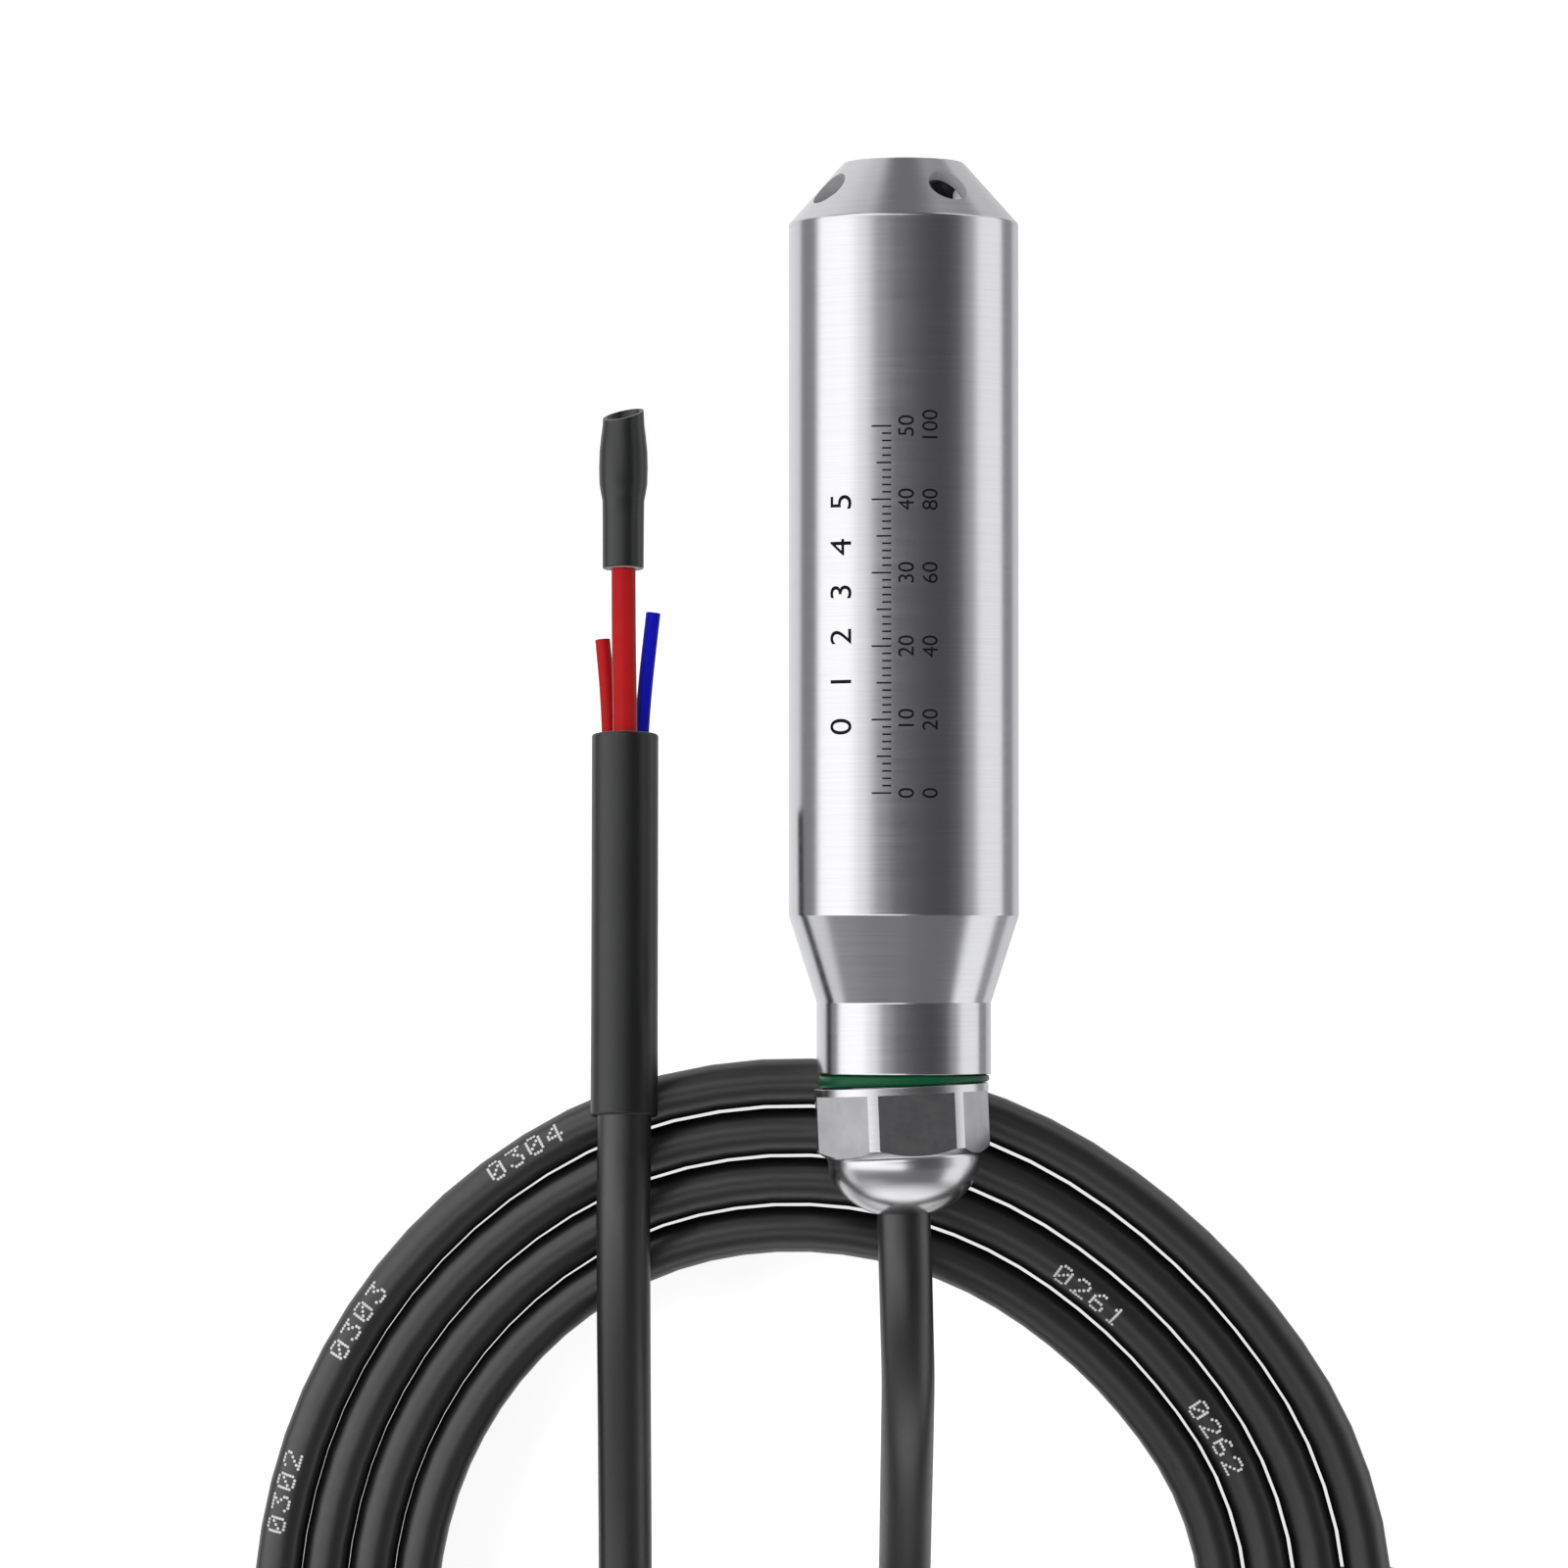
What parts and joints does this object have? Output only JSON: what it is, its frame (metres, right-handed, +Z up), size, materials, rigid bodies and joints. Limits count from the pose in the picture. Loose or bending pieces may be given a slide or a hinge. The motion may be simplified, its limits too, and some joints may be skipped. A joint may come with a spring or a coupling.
{
  "type": "submersible level transmitter",
  "caption": "Stainless steel hydrostatic level probe with a perforated nose cap, a compression cable gland and a coiled vented cable with a sleeved lead end",
  "frame": {"origin": "on the surface that it lies on, under the middle of the probe's bounding box, which leaves out the cable", "axes": "+Z up, +Y along the probe towards its nose, +X to the right as seen from above with the nose away"},
  "size_m": [0.1532, 0.2603, 0.0421],
  "materials": {
    "steel": "fine turned",
    "foil": "bright foil",
    "brass": "plated",
    "tinned": "tinned",
    "black_rubber": "matt",
    "green_rubber": "satin",
    "nylon": "moulded",
    "board": "laminate",
    "chip": "moulded",
    "carrier": "moulded",
    "film": "amber film",
    "jacket": "satin",
    "shrink": "matt",
    "red": "semi-gloss",
    "blue": "semi-gloss"
  },
  "bodies": {
    "root": {"nose_cap": "steel", "housing": "steel", "gland_nut": "steel", "cell_holder": "steel", "sensor_cell": "steel", "weld_ring": "steel", "cable_anchor": "steel", "isolating_diaphragm": "foil", "retaining_ring": "brass", "header_pin_1": "brass", "header_pin_2": "brass", "header_pin_3": "brass", "header_pin_4": "brass", "header_pin_5": "brass", "holder_o_ring": "black_rubber", "cell_o_ring": "black_rubber", "sealing_grommet": "black_rubber", "vent_boot": "black_rubber", "gland_o_ring": "green_rubber", "clamping_cage": "nylon", "thrust_washer": "nylon", "cable_tie_1": "nylon", "cable_tie_2": "nylon", "cable_tie_3": "nylon", "sensor_board": "board", "circuit_board": "board", "signal_amplifier": "chip", "microcontroller": "chip", "current_driver": "chip", "input_inductor": "chip", "filter_capacitor": "tinned", "surge_suppressor": "tinned", "terminal_screw_1": "tinned", "terminal_screw_2": "tinned", "terminal_block": "carrier", "front_carrier": "carrier", "rear_carrier": "carrier", "insulating_liner": "film", "ribbon_link": "film", "inner_red_wire": "red", "inner_blue_wire": "blue", "inner_vent_tube": "red", "cable_tail": "jacket", "cable_run": "jacket", "cable_coil": "jacket", "cable_lead": "jacket", "shrink_sleeve": "shrink", "vent_tube": "red", "red_core": "red", "blue_core": "blue"}
  },
  "joints": []
}
